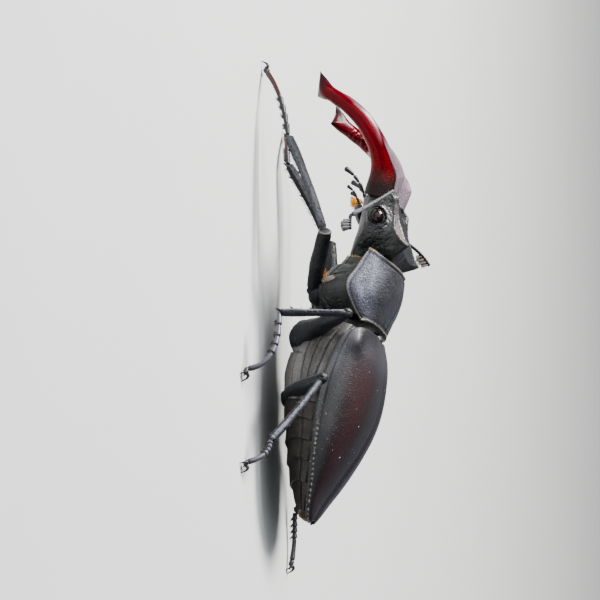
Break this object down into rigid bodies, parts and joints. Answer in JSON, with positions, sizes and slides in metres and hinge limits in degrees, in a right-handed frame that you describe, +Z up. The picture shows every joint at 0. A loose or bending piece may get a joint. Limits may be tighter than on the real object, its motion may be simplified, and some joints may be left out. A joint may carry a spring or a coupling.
{
  "type": "stag beetle",
  "caption": "Life-size still model of a male stag beetle standing with its forebody raised and its antler-like jaws open.",
  "frame": {"origin": "on the floor, under the middle of the beetle's bounding box", "axes": "-Y is where the head points, +X is the beetle's left side, +Z is up from the floor"},
  "size_m": [0.048, 0.0672, 0.0201],
  "materials": {
    "black_shell": "satin, finely pitted black shell with a blue-grey sheen",
    "brown_shell": "smooth dark brown shell with a maroon band",
    "red_jaw": "polished blood-red horn with black tips",
    "leg_shell": "satin black shell",
    "foot_shell": "dark red-brown, slightly rough",
    "eye": "glossy, very dark maroon",
    "gold_hair": "short golden hair"
  },
  "bodies": {
    "root": {"abdomen": "black_shell", "claws_front_left": "foot_shell", "claws_front_right": "foot_shell", "claws_hind_left": "foot_shell", "claws_hind_right": "foot_shell", "claws_middle_left": "foot_shell", "claws_middle_right": "foot_shell", "eye_left": "eye", "eye_right": "eye", "feeler_comb_left": "leg_shell", "feeler_comb_right": "leg_shell", "feeler_stem_left": "leg_shell", "feeler_stem_right": "leg_shell", "foot_front_left": "foot_shell", "foot_front_right": "foot_shell", "foot_hind_left": "foot_shell", "foot_hind_right": "foot_shell", "foot_middle_left": "foot_shell", "foot_middle_right": "foot_shell", "head": "black_shell", "hind_thorax": "black_shell", "hip_front_left": "leg_shell", "hip_front_right": "leg_shell", "hip_hind_left": "leg_shell", "hip_hind_right": "leg_shell", "hip_middle_left": "leg_shell", "hip_middle_right": "leg_shell", "jaw_left": "red_jaw", "jaw_right": "red_jaw", "neck_shield": "black_shell", "palp_left": "foot_shell", "palp_right": "foot_shell", "prothorax": "black_shell", "scutellum": "black_shell", "shank_front_left": "leg_shell", "shank_front_right": "leg_shell", "shank_hind_left": "leg_shell", "shank_hind_right": "leg_shell", "shank_middle_left": "leg_shell", "shank_middle_right": "leg_shell", "thigh_front_left": "leg_shell", "thigh_front_right": "leg_shell", "thigh_hind_left": "leg_shell", "thigh_hind_right": "leg_shell", "thigh_middle_left": "leg_shell", "thigh_middle_right": "leg_shell", "tongue_brush": "gold_hair", "upper_lip": "black_shell", "wing_case_left": "brown_shell", "wing_case_right": "brown_shell"}
  },
  "joints": []
}
